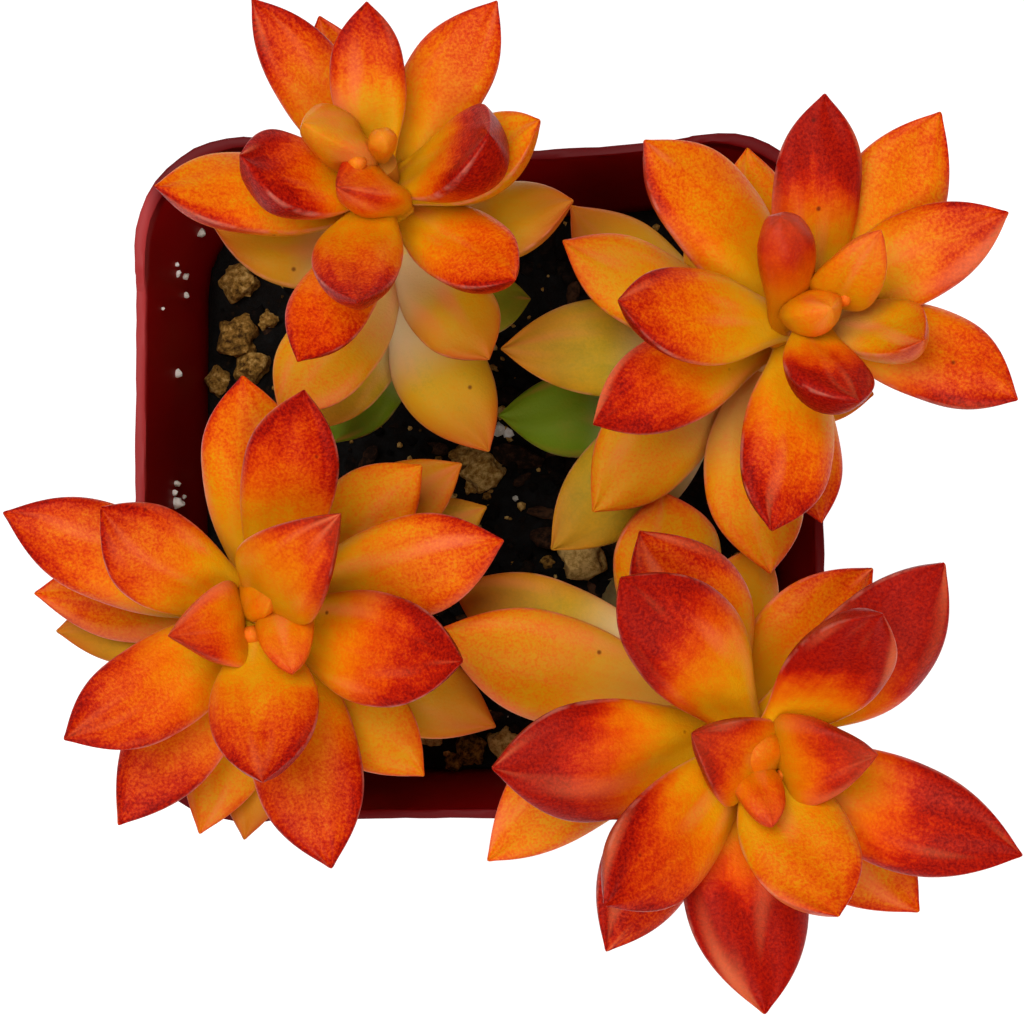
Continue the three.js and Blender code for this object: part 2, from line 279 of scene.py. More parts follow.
# The underside stands on a narrow foot and is hollowed by less than half a millimetre.
pick(pot, "faces", lambda face: face.calc_center_median().z < 0.01 * MM)
bpy.ops.mesh.inset(thickness=1.6 * MM)
bpy.ops.mesh.inset(thickness=0.3 * MM, depth=-0.35 * MM)
done()
for x in (-DRAIN_PLACE, DRAIN_PLACE):
    for y in (-DRAIN_PLACE, DRAIN_PLACE):
        bpy.ops.object.select_all(action="DESELECT")
        bpy.ops.mesh.primitive_cylinder_add(
            vertices=40, radius=DRAIN_RADIUS, depth=DRILL_LENGTH, location=(x, y, 0)
        )
        drill = bpy.context.object
        with_modifier(pot, "BOOLEAN", operation="DIFFERENCE", object=drill, solver="EXACT")
        bpy.data.objects.remove(drill)
# The lip's outline wanders a little, as the mould's edge left it.
lip_group = pot.vertex_groups.new(name="lip")
lip_group.add([vert.index for vert in pot.data.vertices if vert.co.z > lip_foot + 0.3 * MM], 1, "REPLACE")
with_modifier(
    pot,
    "DISPLACE",
    texture=cloud_texture("lip_waves", "CLOUDS", LIP_WAVE_LENGTH),
    texture_coords="LOCAL",
    mid_level=0.5,
    strength=LIP_WAVE_HEIGHT,
    vertex_group="lip",
)
only(pot)
bpy.ops.object.shade_smooth_by_angle(angle=math.radians(40))

# Moulded polypropylene: a dense dark red with a soft gloss, a faint grain from the mould and a little dust.
POT_RED = "#960408"
POT_DARK = "#880306"
POT_DUST = "#9a3a34"
# The lip's painted highlight and painted shade, the heights of the painted band, and where the painted
# highlight ends
POT_LIP_HIGHLIGHT = "#a83c3c"
POT_LIP_SHADE = "#4a0206"
LIP_SHADE_FOOT = POT_HEIGHT - 0.6 * MM
LIP_SHADE_TOP = POT_HEIGHT - 0.05 * MM
LIT_SIDE_OUTSIDE = -27.6 * MM
LIT_SIDE_INSIDE = -26.4 * MM
COLOURS = {"data_type": "RGBA"}
plastic, tree, shader = new_material("moulded_polypropylene")
place = add_node(tree, "TexCoord", {}, {})["Object"]
cloud = add_node(tree, "TexNoise", {}, {"Vector": place, "Scale": 90, "Detail": 4, "Roughness": 0.6})[0]
tint = add_node(tree, "ValToRGB", {}, {0: cloud}, [(0.3, POT_DARK), (0.7, POT_RED)])[0]
dust = add_node(tree, "TexNoise", {}, {"Vector": place, "Scale": 1400, "Detail": 5, "Roughness": 0.7})[0]
dust = add_node(tree, "MapRange", {}, {0: dust, 1: 0.66, 2: 0.8, 3: 0, 4: 0.14})[0]
# The lip's top has a paler painted highlight on its left side, and painted shade elsewhere.
outwards = add_node(tree, "SeparateXYZ", {}, {0: place})
lip_top = add_node(
    tree, "MapRange", {}, {0: outwards[2], 1: LIP_SHADE_FOOT, 2: LIP_SHADE_TOP, 3: 0, 4: 0.7}
)[0]
lit_side = add_node(tree, "MapRange", {}, {0: outwards[0], 1: LIT_SIDE_OUTSIDE, 2: LIT_SIDE_INSIDE, 3: 1, 4: 0})[0]
lip_light_and_shade = add_node(tree, "Mix", COLOURS, {0: lit_side, 6: hex_colour(POT_LIP_SHADE), 7: hex_colour(POT_LIP_HIGHLIGHT)})[2]
for share, colour in ((dust, hex_colour(POT_DUST)), (lip_top, lip_light_and_shade)):
    tint = add_node(tree, "Mix", COLOURS, {0: share, 6: tint, 7: colour})[2]
tree.links.new(tint, shader.inputs["Base Color"])
gloss = add_node(tree, "MapRange", {}, {0: cloud, 1: 0.3, 2: 0.7, 3: 0.42, 4: 0.52})[0]
tree.links.new(gloss, shader.inputs["Roughness"])
# The mould's grain is about 0.2 mm.
mould_grain = add_node(tree, "TexNoise", {}, {"Vector": place, "Scale": 5000, "Detail": 2})[0]
grain_bump = add_node(tree, "Bump", {}, {"Strength": 0.12, "Distance": 0.05 * MM, "Height": mould_grain})[0]
tree.links.new(grain_bump, shader.inputs["Normal"])
shader.inputs["Specular IOR Level"].default_value = 0.1
pot.data.materials.append(plastic)
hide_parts("pot")
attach(pot, "root")


# Potting mix
# A dark, crumbly mix of peat and fine bark that fills the pot from its floor to about 16 mm below the lip.
# It was poured in round the stems, so its top swells and dips and it meets the wall all round.
SOIL_TOP = 39 * MM
SOIL_GAP = 0.3 * MM
SOIL_CRUMB = 0.55 * MM


def swell(x, y):
    """How far the top of the mix lies above or below its level at a place, in metres."""
    across, away = x / MM, y / MM
    broad = 0.7 * math.sin(across / 6 + 1) * math.cos(away / 5)
    return (broad + 0.35 * math.sin(across / 2.3 + away / 3.1)) * MM


soil_foot = inside(POT_FLOOR) - SOIL_GAP - 0.6 * MM
soil = square_plan("potting_mix", soil_foot, 6, 5)
bpy.ops.transform.translate(value=(0, 0, POT_FLOOR))
soil_rings = [(inside(4 * MM) - SOIL_GAP, 4 * MM), (inside(SOIL_TOP) - SOIL_GAP, SOIL_TOP)]
raise_rings(soil, soil_rings, soil_foot, POT_FLOOR)
bpy.ops.mesh.select_all(action="SELECT")
bpy.ops.mesh.normals_make_consistent(inside=False)
done()
with_modifier(soil, "REMESH", mode="VOXEL", voxel_size=SOIL_CRUMB)
wall_room = 0.9 * MM
top_group = soil.vertex_groups.new(name="top")
for vert in soil.data.vertices:
    if vert.co.z > SOIL_TOP - 0.1 * MM:
        edge = inside(SOIL_TOP) - SOIL_GAP - max(abs(vert.co.x), abs(vert.co.y))
        top_group.add([vert.index], min(1, max(0, edge / wall_room)), "REPLACE")
        vert.co.z += swell(vert.co.x, vert.co.y)
for name, kind, size, strength in (
    ("crumbs", "VORONOI", 1.6 * MM, 1.5 * MM),
    ("fine_crumbs", "CLOUDS", 0.7 * MM, 1.1 * MM),
):
    with_modifier(
        soil,
        "DISPLACE",
        texture=cloud_texture(name, kind, size),
        texture_coords="LOCAL",
        direction="Z",
        mid_level=0.5,
        strength=strength,
        vertex_group="top",
    )
only(soil)
bpy.ops.object.shade_smooth()

# Damp peat: nearly black brown, matt, with lighter fibres and a few wet glints.
PEAT_DARK = "#030201"
PEAT_BROWN = "#0c0704"
PEAT_FIBRE = "#302012"
peat, tree, shader = new_material("damp_peat")
place = add_node(tree, "TexCoord", {}, {})["Object"]
crumbs = add_node(tree, "TexNoise", {}, {"Vector": place, "Scale": 900, "Detail": 8, "Roughness": 0.72})[0]
peat_stops = [(0.35, PEAT_DARK), (0.6, PEAT_BROWN), (0.72, PEAT_FIBRE)]
peat_colour = add_node(tree, "ValToRGB", {}, {0: crumbs}, peat_stops)[0]
tree.links.new(peat_colour, shader.inputs["Base Color"])
wet = add_node(tree, "MapRange", {}, {0: crumbs, 1: 0.4, 2: 0.6, 3: 0.55, 4: 0.95})[0]
tree.links.new(wet, shader.inputs["Roughness"])
crumb_bump = add_node(tree, "Bump", {}, {"Strength": 0.9, "Distance": 0.3 * MM, "Height": crumbs})[0]
tree.links.new(crumb_bump, shader.inputs["Normal"])
shader.inputs["Specular IOR Level"].default_value = 0.15
soil.data.materials.append(peat)
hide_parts("potting_soil")
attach(soil, "root")


# Grit
# Grains of tan pumice, flakes of bark and white perlite that were mixed into the peat, with crumbs of the
# peat itself. Each grain is a separate loose lump, and lies half sunk in the mix.
# Pumice grains that show between the plants: x, y and radius in mm
PUMICE_SEEN = [
    (-22.1, 18.3, 1.5),
    (-22.2, 13.4, 1.7),
    (-24.1, 9.7, 1.2),
    (-20.9, 10.9, 1.5),
    (-22.6, 8.0, 1.0),
    (-0.6, 1.6, 1.7),
    (1.2, 5.4, 0.3),
    (8.0, -6.0, 1.9),
    (22.6, -7.4, 1.5),
    (-1.8, -22.5, 1.3),
    (-5.3, -21.3, 1.0),
    (1.2, -22.1, 1.3),
    (-3.2, -23.6, 0.8),
]
PERLITE_SEEN = [(0.6, 5.3, 0.75), (1.5, 5.0, 0.55), (-19.5, 14.6, 0.35), (-19.9, 15.6, 0.25)]
# Flecks of perlite that stick to the left wall: y, z and radius in mm
WALL_FLECKS = [
    (22.2, 44.0, 0.38),
    (19.0, 47.4, 0.17),
    (18.3, 46.9, 0.21),
    (18.3, 44.8, 0.25),
    (16.7, 44.5, 0.25),
    (14.8, 51.3, 0.13),
    (9.7, 46.9, 0.34),
    (0.3, 47.1, 0.25),
    (-0.5, 47.7, 0.25),
    (-1.3, 47.1, 0.47),
    (-0.7, 44.7, 0.17),
]
# Half the room that loose grains have on the mix, and the radius of its corners, in mm
SOIL_ROOM = 24.2
ROOM_CORNER = 7
draw = random.Random(11)


def rough_lump(name, detail, texture_kind, roughness, squash):
    """A lump about 1 across its radius, worn by two sizes of noise."""
    bpy.ops.object.select_all(action="DESELECT")
    bpy.ops.mesh.primitive_ico_sphere_add(subdivisions=detail, radius=1)
    lump = bpy.context.object
    lump.name = name
    edit(lump)
    bpy.ops.mesh.select_all(action="SELECT")
    bpy.ops.transform.resize(value=squash)
    done()
    for wear, kind, size, strength in (("_broad", texture_kind, 0.9, 1), ("_fine", "CLOUDS", 0.25, 0.45)):
        with_modifier(
            lump,
            "DISPLACE",
            texture=cloud_texture(name + wear, kind, size),
            texture_coords="LOCAL",
            mid_level=0.5,
            strength=strength * roughness,
        )
    return lump


def on_the_mix(places):
    """Gives places on the mix, of x, y and size in mm, their height."""
    return [(x, y, (SOIL_TOP + swell(x * MM, y * MM)) / MM + 0.25 * size, size) for x, y, size in places]


def strewn(name, forms, places, material):
    """Copies of some forms, each turned and sized for its place and joined into one piece."""
    copies = []
    for x, y, z, size in places:
        copy = draw.choice(forms).copy()
        copy.data = copy.data.copy()
        bpy.context.collection.objects.link(copy)
        turn = Matrix.Rotation(draw.uniform(0, 2 * math.pi), 4, "Z")
        tip = Matrix.Rotation(draw.uniform(-0.5, 0.5), 4, "X")
        centre = Vector((x, y, z)) * MM
        copy.data.transform(Matrix.Translation(centre) @ turn @ tip @ Matrix.Scale(size * MM, 4))
        shade = copy.data.attributes.new("shade", "FLOAT", "POINT")
        shade.data.foreach_set("value", [draw.random()] * len(copy.data.vertices))
        copies.append(copy)
    only(*copies)
    bpy.ops.object.join()
    piece = bpy.context.object
    piece.name = name
    piece.data.name = name
    piece.data.materials.clear()
    piece.data.materials.append(material)
    bpy.ops.object.shade_smooth_by_angle(angle=math.radians(50))
    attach(piece, "root")
    return piece


def wall_out(y, z):
    """How far from the pot's middle the inside of a side wall is, in mm, round the corner's bend as well."""
    half = inside(z * MM) / MM
    bend = corner_share(z * MM) * half
    past = max(0, abs(y) - half + bend)
    return half - bend + math.sqrt(bend**2 - past**2)


def drawn_places(count, smallest, largest):
    """Places all over the mix, clear of the pot's wall, with more small sizes than large ones."""
    places = []
    while len(places) < count:
        x = draw.uniform(-SOIL_ROOM, SOIL_ROOM)
        y = draw.uniform(-SOIL_ROOM, SOIL_ROOM)
        size = smallest + (largest - smallest) * draw.random() ** 2
        past = [max(0, abs(place) - SOIL_ROOM + ROOM_CORNER) for place in (x, y)]
        if math.hypot(*past) < ROOM_CORNER - size:
            places.append((x, y, size))
    return places


# Pumice is frothed stone: buff and dull, with darker pores. Perlite is the same thing, blown white. Bark is
# a dry brown flake. Each look has its darkest, middle and lightest colour and its roughness.
GRIT_LOOKS = {
    "pumice": ("#34200a", "#946a2c", "#d4ac64", 0.9),
    "perlite": ("#b9b2a2", "#e9e4d8", "#fbf9f2", 0.75),
    "bark": ("#0a0502", "#1e1008", "#442a18", 0.85),
    "crumb": ("#020101", "#090503", "#1e130b", 0.9),
}
PLUS = {"operation": "ADD"}
grit_materials = {}
for name, (low, middle, high, roughness) in GRIT_LOOKS.items():
    material, tree, shader = new_material(name)
    place = add_node(tree, "TexCoord", {}, {})["Object"]
    pores = add_node(tree, "TexNoise", {}, {"Vector": place, "Scale": 1800, "Detail": 6, "Roughness": 0.7})[0]
    own = add_node(tree, "Attribute", {"attribute_name": "shade"}, {})["Fac"]
    own = add_node(tree, "MapRange", {}, {0: own, 3: -0.14, 4: 0.14})[0]
    depth = add_node(tree, "Math", PLUS, {0: pores, 1: own})[0]
    colour = add_node(tree, "ValToRGB", {}, {0: depth}, [(0.32, low), (0.5, middle), (0.68, high)])[0]
    tree.links.new(colour, shader.inputs["Base Color"])
    bump = add_node(tree, "Bump", {}, {"Strength": 0.8, "Distance": 0.15 * MM, "Height": pores})[0]
    tree.links.new(bump, shader.inputs["Normal"])
    shader.inputs["Roughness"].default_value = roughness
    shader.inputs["Specular IOR Level"].default_value = 0.12
    grit_materials[name] = material

pumice_forms = [rough_lump(f"pumice_{i}", 3, "VORONOI", 0.9, (1.15, 0.9 + 0.1 * i, 0.75)) for i in range(3)]
bark_forms = [rough_lump(f"bark_{i}", 2, "CLOUDS", 0.5, (1.5, 0.5 + 0.2 * i, 0.3)) for i in range(2)]
crumb_forms = [
    rough_lump("crumb_0", 1, "CLOUDS", 0.9, (1, 1, 0.8)),
    rough_lump("crumb_1", 2, "VORONOI", 0.9, (1.2, 0.8, 0.8)),
]
flecks = [(0.1 - wall_out(y, z), y, z, 1.3 * size) for y, z, size in WALL_FLECKS]
# What lies in the pot: its name, forms and look, those in known places, how many more are strewn and their
# smallest and largest radius in mm, and those on the wall
for name, forms, look, seen, count, smallest, largest, stuck in (
    ("pumice_grains", pumice_forms, "pumice", PUMICE_SEEN, 40, 0.4, 1.3, []),
    ("pumice_sand", crumb_forms, "pumice", [], 520, 0.15, 0.5, []),
    ("bark_flakes", bark_forms, "bark", [], 110, 0.5, 1.7, []),
    ("perlite_grains", crumb_forms, "perlite", PERLITE_SEEN, 50, 0.1, 0.35, flecks),
    ("peat_crumbs", crumb_forms, "crumb", [], 700, 0.25, 1.0, []),
):
    places = on_the_mix(seen + drawn_places(count, smallest, largest)) + stuck
    strewn(name, forms, places, grit_materials[look])
for form in pumice_forms + bark_forms + crumb_forms:
    bpy.data.objects.remove(form)


# Leafy stems
# Four rooted stems of one kind of sedum. Each is a round fleshy stem that stands in the mix and ends in a
# rosette of plump boat-shaped leaves, which grow out of it: flat above, keeled below and drawn to a point.
STEM_RADIUS = 1.7
LEAF_ROOT = 0.34
LEAF_SHOULDER = 0.5
LEAF_WIDEST = 0.6
# Shares of a leaf's size: how far it dips, how far its margins cup where it stands up, how plump a blunt one
# is, and how far its margin and its faces waver. Its twist is in degrees.
LEAF_SAG = 0.04
HEART_SAG = 0.14
LEAF_CUP = 0.35
BUD_PLUMPNESS = 1.1
MARGIN_WAVER = 0.025
FACE_WAVER = 0.02
LEAF_TWIST = 7


def half_width(along):
    """Half width of a leaf, as a share of its widest, at a share of its length."""
    if along < LEAF_WIDEST:
        return LEAF_ROOT + (1 - LEAF_ROOT) * math.sin(math.pi / 2 * min(1, along / LEAF_SHOULDER)) ** 2
    return 1 - min(1, (along - LEAF_WIDEST) / (1 - LEAF_WIDEST)) ** 2.2


# One leaf, 1 long and 2 wide, is drawn out of a ring, flattened above, keeled below and smoothed.
leaf_steps = [0.1, 0.22, 0.35, 0.48, 0.6, 0.7, 0.79, 0.87, 0.94, 0.985]
bpy.ops.object.select_all(action="DESELECT")
bpy.ops.mesh.primitive_circle_add(
    vertices=12, radius=half_width(0), fill_type="NGON", rotation=(math.pi / 2, 0, 0)
)
leaf_form = bpy.context.object
leaf_form.name = "leaf_form"
bpy.ops.object.transform_apply(location=True, rotation=True, scale=True)
edit(leaf_form)
bpy.ops.mesh.select_all(action="SELECT")
last = 0
for step in leaf_steps:
    bpy.ops.mesh.extrude_region_move(TRANSFORM_OT_translate={"value": (0, step - last, 0)})
    share = half_width(step) / half_width(last)
    bpy.ops.transform.resize(value=(share, 1, share), center_override=(0, step, 0))
    last = step
bpy.ops.mesh.extrude_region_move(TRANSFORM_OT_translate={"value": (0, 1.012 - last, 0)})
bpy.ops.mesh.merge(type="CENTER")
pick(leaf_form, "verts", lambda vert: vert.co.z > 0.01)
bpy.ops.transform.resize(value=(1, 1, 0.44), center_override=(0, 0, 0))
pick(leaf_form, "verts", lambda vert: vert.co.z < -0.01)
bpy.ops.transform.resize(value=(0.97, 1, 0.84), center_override=(0, 0, 0))
pick(leaf_form, "verts", lambda vert: abs(vert.co.x) < 0.01 and vert.co.z < -0.2)
bpy.ops.transform.translate(value=(0, 0, -0.05))
pick(leaf_form, "verts", lambda vert: abs(vert.co.x) < 0.01 and vert.co.z > 0.1 and vert.co.y < 0.8)
bpy.ops.transform.translate(value=(0, 0, -0.05))


def on_the_margin(edge):
    low, high = edge.verts
    flat = abs(low.co.z) < 0.01 and abs(high.co.z) < 0.01
    return flat and abs(low.co.y - high.co.y) > 0.01 and low.co.x * high.co.x > -0.01


pick(leaf_form, "edges", on_the_margin)
bpy.ops.transform.edge_crease(value=0.45)
bpy.ops.mesh.select_all(action="SELECT")
bpy.ops.transform.resize(value=(1.03, 1, 1.03), center_override=(0, 0, 0))
bpy.ops.mesh.normals_make_consistent(inside=False)
done()
with_modifier(leaf_form, "SUBSURF", levels=2, render_levels=2)
leaf_points = np.empty(3 * len(leaf_form.data.vertices))
leaf_form.data.vertices.foreach_get("co", leaf_points)
leaf_points = leaf_points.reshape(-1, 3)
# Its outline once it is smoothed: half its width at each of its points along the margin
leaf_margin = leaf_points[(abs(leaf_points[:, 2]) < 0.02) & (leaf_points[:, 0] >= 0)]
leaf_margin = leaf_margin[np.argsort(leaf_margin[:, 1])]


def note(piece, **values):
    """Writes one number for each point of a piece's mesh, under each name."""
    for name, value in values.items():
        layer = piece.data.attributes.new(name, "FLOAT", "POINT")
        layer.data.foreach_set("value", np.broadcast_to(value, len(piece.data.vertices)).astype(np.float32))


def stem_point(plant, share):
    """The middle of a stem and its direction, at a share of the curve's own course."""
    foot, knee, tip = (Vector(plant[name]) for name in ("foot", "knee", "tip"))
    place = foot * (1 - share) ** 2 + knee * 2 * share * (1 - share) + tip * share**2
    course = (knee - foot) * 2 * (1 - share) + (tip - knee) * 2 * share
    return place, course.normalized()


def below_tip(plant, drop):
    """The middle of a stem and its direction, a length in mm below its tip."""
    steps = 400
    last = stem_point(plant, 1)[0]
    for step in range(steps - 1, -1, -1):
        place, course = stem_point(plant, step / steps)
        drop -= (place - last).length
        if drop <= 0:
            return place, course
        last = place
    return stem_point(plant, 0)


def smooth_step(low, high, value):
    share = np.clip((value - low) / (high - low), 0, 1)
    return share * share * (3 - 2 * share)


def bud_shape(along, blunt, slimness):
    """A young leaf is broad from its root up, and drawn to a point or round-ended. Gives its half width at
    each point and the point's new place along it."""
    pointed = 1 - np.clip((along - 0.4) / 0.6, 0, 1) ** 2
    pointed = np.where(along < 0.4, 0.5 + 0.5 * smooth_step(0, 0.4, along), pointed)
    shoulder = 1 - min(0.5, 0.6 * slimness)
    bend = math.pi / 2 * np.clip((along - shoulder) / (1 - shoulder), 0, 1)
    rounded = np.where(along < shoulder, 0.5 + 0.5 * smooth_step(0, shoulder, along), np.cos(bend))
    place = np.where(along < shoulder, along, shoulder + (1 - shoulder) * np.sin(bend))
    return pointed * (1 - blunt) + rounded * blunt, along * (1 - blunt) + place * blunt


def rosette_leaf(plant, row, chance):
    """A leaf of the rosette or the stem, which dips a little in its middle."""
    drop, turn, lift, long, wide, bow, tone, blush, lean = row
    root, axis = below_tip(plant, drop)
    return grown_leaf(root, axis, turn, lift, long, wide, bow, None, 0, tone, blush, lean, chance)


def heart_leaf(plant, row, chance):
    """A young leaf round the tip, which arches up and out."""
    x, y, z, turn, lift, long, wide, arch, blunt, tone, blush = row
    root, axis = stem_point(plant, 1)
    root = root + Vector((x, y, z))
    return grown_leaf(root, axis, turn, lift, long, wide, 0, arch, blunt, tone, blush, 0, chance)


def grown_leaf(root, axis, turn, lift, long, wide, bow, arch, blunt, tone, blush, lean, chance):
    """One leaf, bent and turned out from its root. A blunt one is plumper as well."""
    bearing, climb = math.radians(turn), math.radians(lift)
    level = math.cos(climb)
    way = Vector((level * math.cos(bearing), level * math.sin(bearing), math.sin(climb)))
    across = way.cross(axis).normalized()
    up = across.cross(way)
    inwards = max(0, way.dot(axis)) ** 2
    x, y, z = leaf_points.T
    u = np.clip(y, 0, 1)
    widths = np.maximum(np.interp(u, leaf_margin[:, 1], leaf_margin[:, 0]), 0.03)
    side = np.clip(x / widths, -1, 1)
    phase = chance.uniform(0, 6.28)
    half = wide / 2 * (1 + MARGIN_WAVER * np.sin(9 * u + phase))
    young = arch is not None
    if young:
        bud_half, bud_place = bud_shape(u, blunt, wide / long)
        half = half * bud_half / widths
        y = y - u + bud_place
        u = bud_place
    else:
        arch = -(LEAF_SAG + HEART_SAG * inwards)
    crown = 4 * u * (1 - u)
    above = (1 + BUD_PLUMPNESS * blunt) * (1 - 0.5 * (1 - blunt) * smooth_step(0.5, 0.95, u))
    sideways = x * half + bow * crown * long
    height = np.where(z > 0, z * above, z) * half + arch * long * crown
    height += LEAF_CUP * inwards * (1 - blunt) * side**2 * half * widths
    height += FACE_WAVER * half * np.sin(6 * side + 11 * u + phase)
    twist = math.radians(chance.uniform(-LEAF_TWIST, LEAF_TWIST)) * u
    sideways, height = (
        sideways * np.cos(twist) - height * np.sin(twist),
        sideways * np.sin(twist) + height * np.cos(twist),
    )
    points = np.array(root) + np.outer(sideways, across) + np.outer(y * long, way) + np.outer(height, up)
    leaf = leaf_form.copy()
    leaf.data = leaf_form.data.copy()
    bpy.context.collection.objects.link(leaf)
    leaf.data.vertices.foreach_set("co", (points * MM).ravel())
    note(
        leaf,
        along=u * (1 - 0.15 * blunt),
        across=side * (1 - 0.8 * blunt),
        tone=tone / 10,
        blush=blush / 10,
        lean=lean,
        grainy=0.3 + 0.4 * (1 - blunt) if young else 1,
        chance=chance.random(),
    )
    return leaf


def grown_stem(plant):
    """The stem: a tapered bar along its curve, with its ends closed."""
    foot, knee, tip = (Vector(plant[name]) * MM for name in ("foot", "knee", "tip"))
    bpy.ops.object.select_all(action="DESELECT")
    bpy.ops.curve.primitive_bezier_curve_add()
    stem = bpy.context.object
    points = stem.data.splines[0].bezier_points
    for point, end, radius in ((points[0], foot, 1.1), (points[1], tip - (tip - knee) * 0.06, 0.7)):
        point.handle_left_type = point.handle_right_type = "FREE"
        point.co = end
        point.handle_left = point.handle_right = end + (knee - end) * 2 / 3
        point.radius = radius
    stem.data.resolution_u = 40
    stem.data.bevel_depth = STEM_RADIUS * MM
    stem.data.bevel_resolution = 6
    stem.data.use_fill_caps = True
    only(stem)
    bpy.ops.object.convert(target="MESH")
    stem = bpy.context.object
    heights = np.array([vert.co.z for vert in stem.data.vertices])
    note(stem, along=(heights - foot.z) / (tip.z - foot.z))
    return stem


# A living sedum leaf: waxy skin over water-filled flesh, so light sinks in a little. Sun reddens it from its
# tip and margins; shaded and older leaves stay yellow or green. The skin's own grain is about 0.3 mm.
LEAF_RIPENESS = [
    (0.0, "#769018"),
    (0.2, "#968c1e"),
    (0.38, "#cea01c"),
    (0.52, "#d69206"),
    (0.64, "#e06e02"),
    (0.76, "#d64602"),
    (0.88, "#b81c02"),
    (1.0, "#7c0402"),
]
LEAF_GOLD = 0.5
# Painted shade where the youngest leaves crowd together
YOUNG_SHADE_GOLD = "#c07004"
# A painted pink highlight on the youngest leaves' tips
YOUNG_TIP_HIGHLIGHT = "#f07a44"
LEAF_CRIMSON = "#a0060c"
LEAF_PALE_ROOT = "#f4e2b4"
# A painted highlight along the margin
LEAF_RIM_HIGHLIGHT = "#ee9880"
LEAF_ROSE = "#ae4c14"
# Painted highlight patches
LEAF_HIGHLIGHT_PATCH = "#f07c4c"
LEAF_FRECKLE = "#5a0c06"
TIMES = {"operation": "MULTIPLY"}
TIMES_PLUS = {"operation": "MULTIPLY_ADD"}
LEAST = {"operation": "MINIMUM"}
SMOOTH = {"interpolation_type": "SMOOTHSTEP"}
leaf_skin, tree, shader = new_material("waxy_leaf")
place = add_node(tree, "TexCoord", {}, {})["Object"]
told = {
    name: add_node(tree, "Attribute", {"attribute_name": name}, {})["Fac"]
    for name in ("along", "across", "tone", "blush", "lean", "grainy", "chance")
}
patches = add_node(tree, "TexNoise", {}, {"Vector": place, "Scale": 260, "Detail": 3, "Roughness": 0.6})[0]
blotches = add_node(tree, "TexNoise", {}, {"Vector": place, "Scale": 800, "Detail": 2})[0]
grain = add_node(tree, "TexNoise", {}, {"Vector": place, "Scale": 4600, "Detail": 2, "Roughness": 0.6})[0]
mottle = add_node(tree, "MapRange", {}, {0: grain, 1: 0.34, 2: 0.66, 3: -1, 4: 1})[0]
edge = add_node(tree, "Math", {"operation": "ABSOLUTE"}, {0: told["across"]})[0]
edge_sharp = add_node(tree, "Math", {"operation": "POWER"}, {0: edge, 1: 3})[0]
# Faint streaks run along each leaf, from its root to its tip.
streak_x = add_node(tree, "Math", TIMES, {0: told["across"], 1: 2.4})[0]
own = add_node(tree, "Math", TIMES, {0: told["chance"], 1: 30})[0]
flow = add_node(tree, "CombineXYZ", {}, {0: streak_x, 1: told["along"], 2: own})[0]
streaks = add_node(tree, "TexNoise", {}, {"Vector": flow, "Scale": 2.6, "Detail": 2, "Roughness": 0.6})[0]
# The blush reaches in from the tip and margins, further on the side that the leaf leans to.
leaning = add_node(tree, "Math", TIMES, {0: told["lean"], 1: told["across"]})[0]
reach = told["along"]
for part, share in ((leaning, 0.28), (edge_sharp, 0.3), (patches, 0.35), (streaks, 0.15)):
    reach = add_node(tree, "Math", TIMES_PLUS, {0: part, 1: share, 2: reach})[0]
start = add_node(tree, "MapRange", {}, {0: told["blush"], 3: 1.35, 4: 0.5})[0]
end = add_node(tree, "Math", PLUS, {0: start, 1: 0.75})[0]
redness = add_node(tree, "MapRange", SMOOTH, {0: reach, 1: start, 2: end})[0]
# Near its root a leaf stays gold and smooth, which leaves a glow round the heart.
grown = add_node(tree, "MapRange", SMOOTH, {0: told["along"], 1: 0.2, 2: 0.75})[0]
gold = add_node(tree, "Math", LEAST, {0: told["tone"], 1: LEAF_GOLD})[0]
ripe = add_node(tree, "Mix", {}, {0: grown, 2: gold, 3: told["tone"]})[0]
ripe = add_node(tree, "Math", TIMES_PLUS, {0: redness, 1: 0.3, 2: ripe})[0]
for spots, swing in ((patches, 0.035), (blotches, 0.025), (streaks, 0.02)):
    shift = add_node(tree, "MapRange", {}, {0: spots, 1: 0.3, 2: 0.7, 3: -swing, 4: swing})[0]
    ripe = add_node(tree, "Math", PLUS, {0: ripe, 1: shift})[0]
ripe = add_node(tree, "Math", LEAST, {0: ripe, 1: 0.95})[0]
# The skin's grain mottles an orange leaf most, a red one less, and roots and young leaves least.
strength = add_node(tree, "MapRange", {}, {0: told["tone"], 1: 0.35, 2: 0.65, 3: 0.025, 4: 0.075})[0]
calm = add_node(tree, "MapRange", {}, {0: told["tone"], 1: 0.74, 2: 0.86, 3: 1, 4: 0.6})[0]
spread = add_node(tree, "MapRange", {}, {0: grown, 3: 0.25, 4: 1})[0]
for share in (told["grainy"], calm, spread):
    strength = add_node(tree, "Math", TIMES, {0: strength, 1: share})[0]
ripe = add_node(tree, "Math", TIMES_PLUS, {0: mottle, 1: strength, 2: ripe})[0]
flesh = add_node(tree, "ValToRGB", {}, {0: ripe}, LEAF_RIPENESS)[0]
crimson = add_node(tree, "Math", TIMES, {0: redness, 1: told["blush"]})[0]
crimson = add_node(tree, "Math", TIMES, {0: crimson, 1: 0.25})[0]
# Here and there a pale rosy patch is painted on as a highlight.
highlight_place = add_node(tree, "CombineXYZ", {}, {0: told["across"], 1: told["along"], 2: own})[0]
highlight_patch = add_node(tree, "TexNoise", {}, {"Vector": highlight_place, "Scale": 1.5, "Detail": 1})[0]
highlight_patch = add_node(tree, "MapRange", SMOOTH, {0: highlight_patch, 1: 0.54, 2: 0.8, 3: 0, 4: 0.55})[0]
